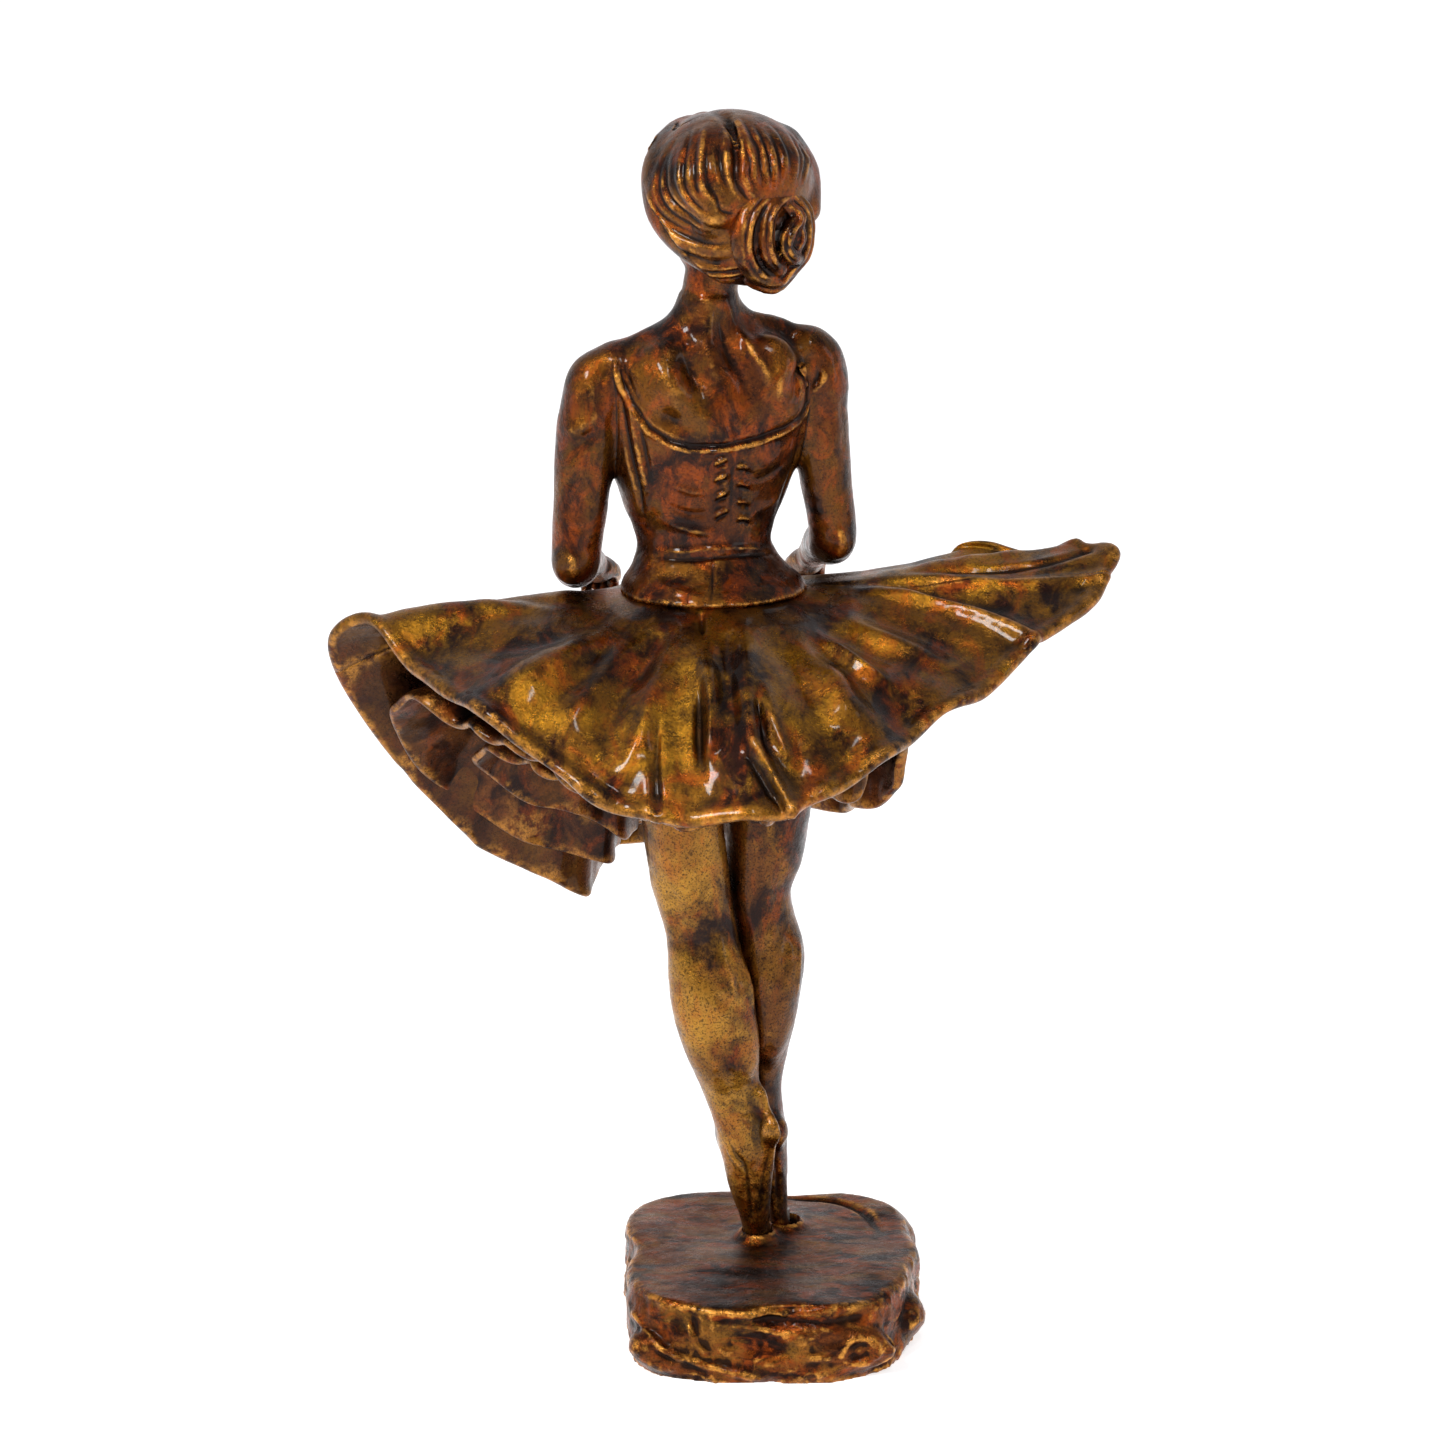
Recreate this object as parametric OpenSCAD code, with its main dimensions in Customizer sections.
// Bronze ballet dancer on a rock, assembled from separate castings, pins and screws.
// Units are millimetres. The origin is the middle of the rock's underside, +Z is up,
// and the dancer faces +Y with its back towards -Y.

/* [Overall heights] */
// Rock, from the floor to the dancer's toes
base_h = 16; // [12:0.5:22]
// Legs, from the toes to the hip seat
leg_h = 108; // [85:1:130]
// Hips, from the hip seat to the waist seat
hips_h = 32; // [28:0.5:40]
// Torso, from the waist seat to the neck seat
torso_h = 58; // [46:1:70]
// Head, from the neck seat to the crown
head_h = 36; // [28:0.5:44]

/* [Rock] */
// Width of the rock, side to side
base_w = 60; // [50:1:75]
// Depth of the rock, back to front
base_d = 62; // [52:1:76]
// Thickness of the rock's cast wall
rock_wall = 4; // [2.5:0.1:5]
// Diameter of the boss that the stud runs through
boss_d = 12; // [10:0.5:16]

/* [Skirt] */
// Reach of the hem from the waist axis, at the middle of the back
skirt_r = 56; // [45:1:70]
// Wall of the skirt castings
skirt_wall = 1.6; // [1.2:0.1:2]
// Wall of the petticoat castings
petticoat_wall = 1.2; // [0.9:0.1:1.5]
// Height that each layer's collar takes on the hip spigot
layer_pitch = 5; // [4.5:0.1:6]
// Width of each collar's ring around the spigot
collar_w = 7; // [5:0.1:8]

/* [Joints between castings] */
// Diameter of the hip casting's spigot
spigot_d = 14; // [10:0.5:17]
// Distance from the dancer's middle line to each arm seat
arm_seat = 18.6; // [17.6:0.1:19]
// Diameter of the hip pins
hip_pin_d = 4; // [3:0.1:5]
// Length of the hip pins
hip_pin_l = 12; // [8:0.5:14]
// Diameter of the neck and shoulder pins
pin_d = 3; // [2:0.1:3.5]
// Length of the neck pin
neck_pin_l = 11; // [8:0.5:14]
// Length of the shoulder pins
shoulder_pin_l = 8; // [6:0.5:9]
// Diameter of the bun's pin
bun_pin_d = 2; // [1.5:0.1:2.5]
// Length of the bun's pin
bun_pin_l = 8; // [6:0.5:10]

/* [Screws] */
// Diameter of the stud in the standing foot
stud_d = 3; // [2.5:0.1:3.4]
// Depth of the stud in the foot
stud_grip = 12; // [8:0.5:14]
// Washer diameter
washer_d = 9; // [7:0.5:10]
// Washer thickness
washer_t = 0.8; // [0.5:0.1:1.2]
// Nut size across its flats
nut_af = 5.5; // [5:0.1:7]
// Nut height
nut_h = 2.4; // [1.8:0.1:3]
// Diameter of the anti-turn dowel under the second foot
dowel_d = 2; // [1.5:0.1:2.4]
// Length of the dowel
dowel_l = 9; // [6:0.5:10]
// Diameter of the waist screw
waist_screw_d = 4; // [3:0.5:5]
// Depth of the waist screw in the torso
waist_screw_grip = 14; // [8:0.5:18]

/* [Clearances] */
// Gap at each seam between two castings
seam_gap = 0.12; // [0.05:0.01:0.3]
// Radial clearance around pins and spigots
pin_gap = 0.04; // [0.02:0.01:0.1]
// Radial clearance around the stud and the waist screw
screw_gap = 0.2; // [0.1:0.05:0.4]

/* [Hidden] */
$fn = 48;

// Heights of the seats between the castings
hip_z = base_h + leg_h;
waist_z = hip_z + hips_h;
neck_z = waist_z + torso_h;
crown_z = neck_z + head_h;

// Places on plan: the two toes, the two hips, the waist axis and the neck
left_toe = [-2.4, 4.8];
right_toe = [3.4, 10];
left_hip = [-19, 3];
right_hip = [0.6, 7];
waist = [-12.5, 3];
neck = [-12.4, 1.4];
head_mid = [-8.4, 1.4];
head_turn = 32;
torso_turn = 10;
bun_rise = 14;

// Where the hidden parts sit
boss_z = 4.6;
toe_pad_r = 4.4;
rock_sides = 40;
ring_sides = 28;
steps_per_span = 3;
hem_steps = 4;
profile_steps = 7;
skirt_k = skirt_r / 56;
collar_r = spigot_d / 2 + collar_w;
far = 200;
bun_r = 7.6;
bun_seat = 13.6;

// ---- Ring and spline helpers ----
function flat(rows) = [for (row = rows) for (item = row) item];
function spin(v, a) = [v.x * cos(a) - v.y * sin(a), v.x * sin(a) + v.y * cos(a), v.z];

// Catmull-Rom value between p1 and p2
function spline_at(p0, p1, p2, p3, t) =
    0.5 * (2 * p1 + (p2 - p0) * t + (2 * p0 - 5 * p1 + 4 * p2 - p3) * t * t
        + (3 * p1 - p0 - 3 * p2 + p3) * t * t * t);

function smooth_rows(rows, steps) = let(last = len(rows) - 1) [
    for (i = [0:last - 1], s = [0:steps - 1])
        spline_at(rows[max(i - 1, 0)], rows[i], rows[i + 1], rows[min(i + 2, last)], s / steps),
    rows[last]];

// Closes a stack of equal rings into a solid, with a flat cap at each end
module loft(rings) {
    n = len(rings[0]);
    top = len(rings) - 1;
    polyhedron(points = flat(rings), faces = concat(
        [[for (i = [0:n - 1]) i]],
        [[for (i = [n - 1:-1:0]) top * n + i]],
        flat([for (k = [0:top - 1], i = [0:n - 1]) let(a = k * n + i, b = k * n + (i + 1) % n)
            [[a, a + n, b], [b, a + n, b + n]]])), convexity = 6);
}

// Level ring: row is [x, y, z, half width, half depth]
function level_ring(row, turn) = [for (i = [0:ring_sides - 1]) let(t = 360 * i / ring_sides)
    [row[0], row[1], row[2]] + spin([row[3] * cos(t), row[4] * sin(t), 0], turn)];

module body_loft(rows, turn = 0) {
    loft([for (row = smooth_rows(rows, steps_per_span)) level_ring(row, turn)]);
}

// Ring square to the path: row is [x, y, z, radius]
function tube_ring(row, dir) = let(
        d = dir / norm(dir), side = cross(d, [1, 0, 0.02]), u = side / norm(side), v = cross(d, u))
    [for (i = [0:ring_sides - 1]) let(t = 360 * i / ring_sides)
        [row[0], row[1], row[2]] + row[3] * (cos(t) * u + sin(t) * v)];

module limb_loft(rows) {
    path = smooth_rows(rows, steps_per_span);
    last = len(path) - 1;
    loft([for (i = [0:last]) let(d = path[min(i + 1, last)] - path[max(i - 1, 0)])
        tube_ring(path[i], [d[0], d[1], d[2]])]);
}

// Rows given with their height as a fraction between two seats
function placed(rows, low, high) = [for (row = rows)
    [for (i = [0:len(row) - 1]) i == 2 ? low + (high - low) * row[2] : row[i]]];

// ---- Rock ----
function rock_reach(t) =
    pow(pow(abs(cos(t)) / (base_w / 2), 2.8) + pow(abs(sin(t)) / (base_d / 2), 2.8), -1 / 2.8)
    * (0.97 + 0.025 * sin(3 * t + 40) + 0.018 * sin(5 * t + 100));

// Wavy top of the rock, level at the toes and with a lump at the right rear
function rock_top(x, y) = base_h + 0.5 * sin(11 * x + 30) * sin(9 * y)
    + 2.2 * exp(-(pow(x - 18, 2) + pow(y - 17, 2)) / 50);

// Ring of the rock's side: share is the part of its full reach, z its height
function rock_ring(share, z, wall = 0) = [for (i = [0:rock_sides - 1]) let(
    t = 360 * i / rock_sides, r = rock_reach(t) * share - wall) [r * cos(t), r * sin(t), z]];

function rock_top_ring(share) = [for (p = rock_ring(share, 0))
    [p.x, p.y, rock_top(p.x, p.y) - 1.6 * pow(share, 6)]];

module base_casting() color("saddlebrown") {
    difference() {
        union() {
            difference() {
                loft(concat(
                    [rock_ring(0.97, -2), rock_ring(0.97, 0), rock_ring(1, 3),
                     rock_ring(1.005, base_h * 0.55), rock_ring(0.985, base_h * 0.78)],
                    [for (share = [0.95, 0.86, 0.7, 0.5, 0.3, 0.12]) rock_top_ring(share)]));
                loft([rock_ring(0.97, -3, rock_wall), rock_ring(1, 3, rock_wall),
                    rock_ring(0.97, base_h - rock_wall - 4, rock_wall),
                    rock_ring(0.78, base_h - rock_wall - 1, rock_wall)]);
            }
            toe_boss(left_toe, boss_d / 2);
            toe_boss(right_toe, boss_d / 2);
        }
        translate([0, 0, -far]) cube([far, far, 2 * far], center = true);
        for (toe = [left_toe, right_toe])
            translate([toe.x, toe.y, base_h]) cylinder(r = toe_pad_r, h = 6);
        translate([left_toe.x, left_toe.y, -1])
            cylinder(r = stud_d / 2 + screw_gap, h = base_h + 2);
        translate([right_toe.x, right_toe.y, base_h - dowel_l / 2])
            cylinder(r = dowel_d / 2 + pin_gap, h = dowel_l);
    }
}

module toe_boss(toe, r) {
    translate([toe.x, toe.y, boss_z]) cylinder(r = r, h = base_h - boss_z);
}

module figure_stud() color("silver") {
    low = boss_z - washer_t - nut_h - seam_gap * 2 - 0.6;
    translate([left_toe.x, left_toe.y, low]) cylinder(d = stud_d, h = base_h + stud_grip - low);
}

module stud_washer() color("silver") {
    translate([left_toe.x, left_toe.y, boss_z - seam_gap - washer_t]) difference() {
        cylinder(d = washer_d, h = washer_t);
        translate([0, 0, -1]) cylinder(r = stud_d / 2 + screw_gap, h = washer_t + 2);
    }
}

module stud_nut() color("silver") {
    translate([left_toe.x, left_toe.y, boss_z - seam_gap * 2 - washer_t - nut_h]) difference() {
        cylinder(d = nut_af / cos(30), h = nut_h, $fn = 6);
        translate([0, 0, -1]) cylinder(r = stud_d / 2 + pin_gap, h = nut_h + 2);
    }
}

module toe_dowel() color("silver") {
    translate([right_toe.x, right_toe.y, base_h - dowel_l / 2 + seam_gap])
        cylinder(d = dowel_d, h = dowel_l - seam_gap * 2);
}

// ---- Legs: rows are [x, y, height as a share of leg_h, half width, half depth] ----
left_leg_rows = [
    [left_toe.x, left_toe.y, 0, 3, 3.1], [-2.8, 4.5, 0.04, 3.5, 3.7], [-4.2, 3.4, 0.11, 4.6, 4.7],
    [-4.6, 2.2, 0.18, 5.3, 5.6], [-5.2, 1.6, 0.26, 6.8, 5.8], [-7.6, 3.2, 0.32, 5.6, 5],
    [-9.6, 3.2, 0.4, 6.8, 6.8], [-11.2, 2.4, 0.49, 8, 8], [-12, 3.2, 0.57, 8, 7.8],
    [-13.8, 3.8, 0.65, 7.7, 7.8], [-16.4, 3.2, 0.77, 8.4, 9],
    [left_hip.x, left_hip.y, 1, 9, 10.5]];
right_leg_rows = [
    [right_toe.x, right_toe.y, 0, 2.8, 3], [2.8, 10, 0.04, 3.2, 3.5], [0, 10, 0.11, 3.9, 4.6],
    [-1, 9.8, 0.18, 4.8, 5.4], [-1.8, 10, 0.26, 4.6, 5.2], [-1.4, 10, 0.32, 4.3, 5],
    [-0.8, 9, 0.43, 6, 7], [-0.7, 8.6, 0.52, 7.3, 8], [-1, 8.9, 0.6, 7.3, 7.8],
    [-2.6, 9, 0.69, 7, 8], [-1.2, 8.4, 0.78, 8.3, 9], [right_hip.x, right_hip.y, 1, 9.2, 10.4]];
// The plane where the two legs lie against each other
leg_seam = [[-9.3, 1], [-2.2, 3]];
leg_seam_share = [0.83, 0.33];
leg_seam_turn = 25;

// Half space on one side of the leg seam: side is 1 for the right leg's side
module leg_seam_block(side) {
    lean = atan(((leg_seam[1].x - leg_seam[0].x) * cos(leg_seam_turn)
        + (leg_seam[1].y - leg_seam[0].y) * sin(leg_seam_turn))
        / (leg_h * (leg_seam_share[0] - leg_seam_share[1])));
    translate([leg_seam[0].x, leg_seam[0].y, base_h + leg_h * leg_seam_share[0]])
        rotate([0, 0, leg_seam_turn]) rotate([0, -lean, 0])
            translate([side * (far / 2 - seam_gap / 2), 0, 0]) cube(far, center = true);
}

module leg(rows, side, toe, hip) {
    difference() {
        body_loft(placed(rows, base_h + seam_gap, hip_z - seam_gap));
        leg_seam_block(-side);
        translate([hip.x, hip.y, hip_z - hip_pin_l / 2 - pin_gap])
            cylinder(r = hip_pin_d / 2 + pin_gap, h = hip_pin_l);
        children();
    }
}

module left_leg() color("peru") {
    leg(left_leg_rows, -1, left_toe, left_hip)
        translate([left_toe.x, left_toe.y, base_h - 1])
            cylinder(r = stud_d / 2 + pin_gap, h = stud_grip + 1.5);
}

module right_leg() color("sienna") {
    leg(right_leg_rows, 1, right_toe, right_hip)
        translate([right_toe.x, right_toe.y, base_h - 1])
            cylinder(r = dowel_d / 2 + pin_gap, h = dowel_l / 2 + 1);
}

// ---- Hips ----
module hip_casting() color("sienna") {
    pelvis_top = waist_z - 3 * layer_pitch - seam_gap;
    spigot_top = waist_z - seam_gap * 3;
    difference() {
        union() {
            body_loft([[-9.4, 4, hip_z, 18.6, 12], [-9.8, 3.8, hip_z + 5, 17.4, 11.8],
                [-11, 3.3, hip_z + (pelvis_top - hip_z) * 0.7, 14.4, 10.6],
                [waist.x, waist.y, pelvis_top, spigot_d / 2 + 5, spigot_d / 2 + 2.6]]);
            translate([waist.x, waist.y, pelvis_top - 4])
                cylinder(d = spigot_d, h = spigot_top - pelvis_top + 4);
        }
        for (hip = [left_hip, right_hip])
            translate([hip.x, hip.y, hip_z - 1])
                cylinder(r = hip_pin_d / 2 + pin_gap, h = hip_pin_l / 2 + 1);
        translate([waist.x, waist.y, hip_z - 1])
            cylinder(r = waist_screw_d / 2 + screw_gap, h = far);
        translate([waist.x, waist.y, hip_z - 1])
            cylinder(r = waist_screw_d * 0.85 + screw_gap, h = waist_screw_d + 1.6);
    }
}

module hip_pins() color("silver") {
    for (hip = [left_hip, right_hip])
        translate([hip.x, hip.y, hip_z - hip_pin_l / 2 + seam_gap])
            cylinder(d = hip_pin_d, h = hip_pin_l - seam_gap * 3);
}

// Socket cap screw that clamps the skirt layers between hips and torso
module waist_screw() color("silver") {
    head_z = hip_z + 0.4;
    translate([waist.x, waist.y, head_z]) difference() {
        union() {
            cylinder(r = waist_screw_d * 0.85, h = waist_screw_d);
            cylinder(d = waist_screw_d, h = waist_z + waist_screw_grip - head_z);
        }
        translate([0, 0, -1]) cylinder(d = waist_screw_d * 0.85, h = waist_screw_d * 0.6 + 1, $fn = 6);
    }
}

// ---- Skirt layers ----
// Each row is [azimuth, reach, drop, belly]: the hem's distance from the waist axis, its
// drop below the waist seat, and how far the cloth stands out before it falls.
skirt_hem = [
    [0, 78, -1, 0.2], [4, 80, -6, 0.2], [12, 67, -4, 0.4], [22, 52, 1, 0.8], [31, 45, 38, 0.9],
    [46, 46, 50, 0.8], [68, 54, 55, 1], [92, 45, 61, 0.7], [116, 54, 54, 1], [130, 40, 61, 0.8],
    [142, 32, 70, 0.5], [153, 39, 65, 0.4], [163, 49, 57, 0.3], [172, 60, 42, 0.3],
    [178, 71, 22, 0.2], [183, 74, 9, 0.1], [190, 66, 5, 0.1], [201, 60, 11, 0.2],
    [226, 57, 16, 0.2], [246, 54, 28, 0.3], [270, 56, 31, 0.3], [292, 57, 27, 0.3],
    [318, 55, 18, 0.2], [335, 60, 13, 0.1], [347, 66, 7, 0.1], [355, 75, 2, 0.1]];
petticoat_outer_hem = [
    [0, 62, 8, 0.3], [14, 48, 10, 0.7], [31, 38, 42, 0.8], [46, 39, 49, 0.8], [68, 45, 53, 0.9],
    [92, 38, 58, 0.7], [116, 45, 54, 0.9], [130, 34, 57, 0.8], [144, 28, 62, 0.6],
    [163, 44, 54, 0.3], [173, 57, 40, 0.2], [180, 62, 29, 0.1], [186, 62, 21, 0.1],
    [200, 51, 23, 0.2], [226, 46, 26, 0.3], [250, 43, 34, 0.3], [270, 44, 35, 0.3],
    [292, 45, 32, 0.3], [318, 44, 25, 0.2], [336, 48, 18, 0.2], [350, 56, 12, 0.2]];
petticoat_inner_hem = [
    [0, 50, 16, 0.3], [14, 40, 19, 0.7], [31, 31, 43, 0.8], [46, 32, 48, 0.8], [68, 36, 51, 0.8],
    [92, 31, 54, 0.7], [116, 36, 53, 0.8], [130, 28, 54, 0.8], [144, 24, 56, 0.8],
    [158, 27, 50, 0.6], [170, 35, 47, 0.4], [180, 44, 38, 0.2], [187, 47, 32, 0.2],
    [203, 38, 32, 0.3], [226, 34, 34, 0.4], [250, 32, 38, 0.4], [270, 33, 39, 0.4],
    [292, 34, 37, 0.4], [318, 34, 32, 0.3], [336, 38, 26, 0.3], [350, 45, 20, 0.3]];

// Row for a fractional place i round the closed hem
function hem_at(hem, i) = let(
        n = len(hem), k = floor(i), wrapped = [for (j = [-1:2]) let(m = k + j)
            hem[(m + n) % n] + [m < 0 ? -360 : m >= n ? 360 : 0, 0, 0, 0]])
    spline_at(wrapped[0], wrapped[1], wrapped[2], wrapped[3], i - k);

function bezier(a, b, c, t) = (1 - t) * (1 - t) * a + 2 * t * (1 - t) * b + t * t * c;

// Outer and inner profile of a layer, as [distance, height] pairs round the wall's section
function layer_section(row, seat, wall) = let(
        r0 = collar_r - 1, z0 = waist_z - seat, hem_z = waist_z - row[2] * skirt_k,
        reach = row[1] * skirt_k, control = [r0 + (reach - r0) * (0.5 + 0.5 * row[3]),
            z0 + (hem_z - z0) * (0.38 - 0.34 * row[3])],
        line = [for (s = [0:profile_steps]) bezier([r0, z0], control, [reach, hem_z],
            s / profile_steps)],
        inward = [for (s = [0:profile_steps]) let(
            d = line[min(s + 1, profile_steps)] - line[max(s - 1, 0)], q = d / norm(d))
            line[s] + wall * [q.y, -q.x]])
    concat(line, [for (s = [profile_steps:-1:0]) inward[s]]);

function on_section(az, p) = [p[0] * cos(az), p[0] * sin(az), p[1]];

// A whole layer is one closed ring of wall sections
module layer_shell(hem, seat, wall) {
    columns = len(hem) * hem_steps;
    sections = [for (c = [0:columns - 1]) let(row = hem_at(hem, c / hem_steps))
        [for (p = layer_section(row, seat, wall)) on_section(row[0], p)]];
    n = len(sections[0]);
    polyhedron(points = flat(sections), faces = flat([for (c = [0:columns - 1], i = [0:n - 1]) let(
        a = c * n + i, b = c * n + (i + 1) % n, next = ((c + 1) % columns) * n - c * n)
            [[a, a + next, b], [b, a + next, b + next]]]), convexity = 12);
}

module layer(hem, seat, wall) {
    difference() {
        union() {
            translate([waist.x, waist.y, 0]) layer_shell(hem, seat, wall);
            translate([waist.x, waist.y, waist_z - seat - layer_pitch + seam_gap])
                cylinder(r = collar_r, h = layer_pitch - seam_gap);
        }
        translate([waist.x, waist.y, waist_z - seat]) cylinder(r = collar_r + 5, h = layer_pitch);
        translate([waist.x, waist.y, 0]) cylinder(r = spigot_d / 2 + pin_gap, h = far);
    }
}

// side is 1 for the front half and -1 for the back half, split across the waist axis
module skirt_half(side) {
    intersection() {
        layer(skirt_hem, 0, skirt_wall);
        translate([0, waist.y + side * (far / 2 + seam_gap / 2), far / 2])
            cube([2 * far, far, 2 * far], center = true);
    }
}

module skirt_back() color("darkgoldenrod") skirt_half(-1);

module skirt_front() color("goldenrod") skirt_half(1);

module petticoat_outer() color("brown")
    layer(petticoat_outer_hem, layer_pitch, petticoat_wall);

module petticoat_inner() color("maroon")
    layer(petticoat_inner_hem, 2 * layer_pitch, petticoat_wall);

// ---- Torso: rows are [x, y, height as a share of torso_h, half width, half depth] ----
torso_rows = [
    [-11.2, 1, 0, collar_r + 2.4, collar_r - 0.8], [-12.2, 2, 0.07, 14.4, 11.4],
    [-13.2, 3, 0.15, 13.2, 9.9], [-13.4, 3.4, 0.24, 13.8, 10], [-13.2, 3.4, 0.34, 15.4, 10.8],
    [-12.5, 3.2, 0.48, arm_seat - 0.8, 12], [-11.7, 2.6, 0.62, arm_seat + 1.4, 12.4],
    [-11.8, 2.4, 0.74, arm_seat + 1.6, 11.6], [-12.2, 2.4, 0.83, arm_seat - 0.2, 9.4],
    [-12.4, 2.4, 0.89, 13, 7.4], [-12.5, 2, 0.94, 7.6, 6.2], [neck.x, neck.y, 1, 5.4, 5.6]];
shoulder_z = waist_z + torso_h * 20 / 29;
// Height where the flat arm seats end
arm_seat_foot = waist_z + torso_h * 13 / 29;
shoulder_mid = -11.4;
// [x, y] of each arm seat
left_shoulder = [shoulder_mid - arm_seat, -0.4];
right_shoulder = [shoulder_mid + arm_seat, 6];

module torso() color("chocolate") {
    difference() {
        body_loft(placed(torso_rows, waist_z + seam_gap, neck_z - seam_gap), torso_turn);
        for (seat = [left_shoulder, right_shoulder]) {
            side = seat.x < shoulder_mid ? -1 : 1;
            translate([seat.x + side * far / 2, 0, shoulder_z]) cube(far, center = true);
            translate([seat.x, seat.y, shoulder_z]) rotate([0, 90, 0])
                cylinder(r = pin_d / 2 + pin_gap, h = shoulder_pin_l, center = true);
        }
        translate([neck.x, neck.y, neck_z - neck_pin_l / 2])
            cylinder(r = pin_d / 2 + pin_gap, h = neck_pin_l);
        translate([waist.x, waist.y, waist_z - 1])
            cylinder(r = waist_screw_d / 2 + pin_gap, h = waist_screw_grip + 1.5);
    }
}

module shoulder_pins() color("silver") {
    for (seat = [left_shoulder, right_shoulder])
        translate([seat.x, seat.y, shoulder_z]) rotate([0, 90, 0])
            cylinder(d = pin_d, h = shoulder_pin_l - seam_gap * 2, center = true);
}

// ---- Arms: rows are [distance out from the arm seat, y, height above the waist seat, radius] ----
// From shoulder to fingertips. Heights above the waist follow the torso; the rest, the skirt.
left_arm_rows = [
    [1, 0, 51.5, 1.6], [3, -0.1, 48.6, 4.4], [5.1, -0.4, 42, 5.8], [5.9, -0.6, 35, 6],
    [6.7, -0.8, 26, 5.5], [7.2, -1, 18, 5.2], [7.9, -1.2, 11, 4.9], [8.2, -0.4, 6, 4.8],
    [8.4, 4, 3.8, 4.5], [8, 12, 2.8, 4.5], [7, 24, 0, 3.7], [6.2, 33, -3, 2.8],
    [5.2, 41, -7, 4], [4.5, 46, -10.4, 3.2], [4.2, 48, -12.4, 1.4]];
right_arm_rows = [
    [0.8, 6.4, 53, 1.6], [1.2, 6.6, 50, 4.2], [2, 7, 43, 5.2], [2.2, 7, 35, 5.3],
    [3.2, 7.4, 26, 5.1], [3.4, 7.6, 19, 4.9], [4.2, 7.8, 12.4, 4.8], [4.2, 9, 8, 4.7],
    [4, 14, 6, 4.5], [3.6, 21, 4.6, 4.4], [2.6, 31, 1, 3.6], [1.6, 38, -2.2, 2.8],
    [0.2, 45, -6.6, 4], [-0.6, 49, -10.4, 3.2], [-0.8, 50.6, -12.4, 1.4]];
elbow_rise = 6;

function arm_z(z) = z * (z > 0 ? torso_h / 58 : skirt_k);
function arm_y(y, z) = z > elbow_rise ? y : waist.y + (y - waist.y) * skirt_k;
function arm_rows(rows, seat, side) = [for (r = rows)
    [seat.x + side * r[0], arm_y(r[1], r[2]), waist_z + arm_z(r[2]), r[3]]];

module arm(rows, seat, side) {
    difference() {
        limb_loft(arm_rows(rows, seat, side));
        translate([seat.x - side * (far / 2 - seam_gap), 0, arm_seat_foot + far / 2])
            cube(far, center = true);
        translate([seat.x, seat.y, shoulder_z]) rotate([0, 90, 0])
            cylinder(r = pin_d / 2 + pin_gap, h = shoulder_pin_l, center = true);
    }
}

module left_arm() color("chocolate") arm(left_arm_rows, left_shoulder, -1);

module right_arm() color("chocolate") arm(right_arm_rows, right_shoulder, 1);

// ---- Head: rows are [x, y, height as a share of head_h, half width, half depth] ----
head_rows = [
    [neck.x, neck.y, 0, 5.4, 5.6], [-11.8, 2, 0.08, 6, 7], [-10.6, 2.8, 0.17, 9, 11],
    [-9.2, 2.2, 0.3, 13.4, 15], [head_mid.x, head_mid.y, 0.46, 15.8, 17],
    [-8.3, 1.2, 0.62, 16.2, 17.4], [-8.5, 1.3, 0.78, 14.8, 15.4], [-8.8, 1.5, 0.91, 10.4, 10.6],
    [-9, 1.6, 0.975, 5.4, 5.4], [-9.1, 1.6, 1, 2.2, 2.2]];

// Puts its children in the bun's frame: origin on the bun's seat, +Z straight out of it
module at_bun() {
    translate([head_mid.x, head_mid.y, neck_z + bun_rise]) rotate([0, 0, head_turn])
        translate([0, -bun_seat, 0]) rotate([90, 0, 0]) children();
}

module neck_pin() color("silver") {
    translate([neck.x, neck.y, neck_z - neck_pin_l / 2 + seam_gap])
        cylinder(d = pin_d, h = neck_pin_l - seam_gap * 2);
}

module head() color("chocolate") {
    difference() {
        body_loft(placed(head_rows, neck_z, crown_z), head_turn);
        at_bun() translate([0, 0, 10]) cube([60, 2 * bun_r + 1, 20], center = true);
        at_bun() cylinder(r = bun_pin_d / 2 + pin_gap, h = bun_pin_l, center = true);
        translate([neck.x, neck.y, neck_z - neck_pin_l / 2])
            cylinder(r = pin_d / 2 + pin_gap, h = neck_pin_l);
    }
}

module bun_pin() color("silver") {
    at_bun() cylinder(d = bun_pin_d, h = bun_pin_l - seam_gap * 2, center = true);
}

// Coiled knot of hair: a domed disc with a groove between its two turns
module hair_bun() color("saddlebrown") {
    at_bun() difference() {
        rotate_extrude() polygon([[0, seam_gap], [bun_r * 0.86, seam_gap], [bun_r, 2], [bun_r, 3.6],
            [bun_r * 0.86, 5], [bun_r * 0.6, 5.2], [bun_r * 0.5, 4.8], [bun_r * 0.4, 5.8],
            [bun_r * 0.2, 6.6], [0, 6.8]]);
        cylinder(r = bun_pin_d / 2 + pin_gap, h = bun_pin_l, center = true);
    }
}

base_casting();
figure_stud();
stud_washer();
stud_nut();
toe_dowel();
left_leg();
right_leg();
hip_casting();
hip_pins();
waist_screw();
petticoat_inner();
petticoat_outer();
skirt_back();
skirt_front();
torso();
shoulder_pins();
left_arm();
right_arm();
neck_pin();
head();
bun_pin();
hair_bun();
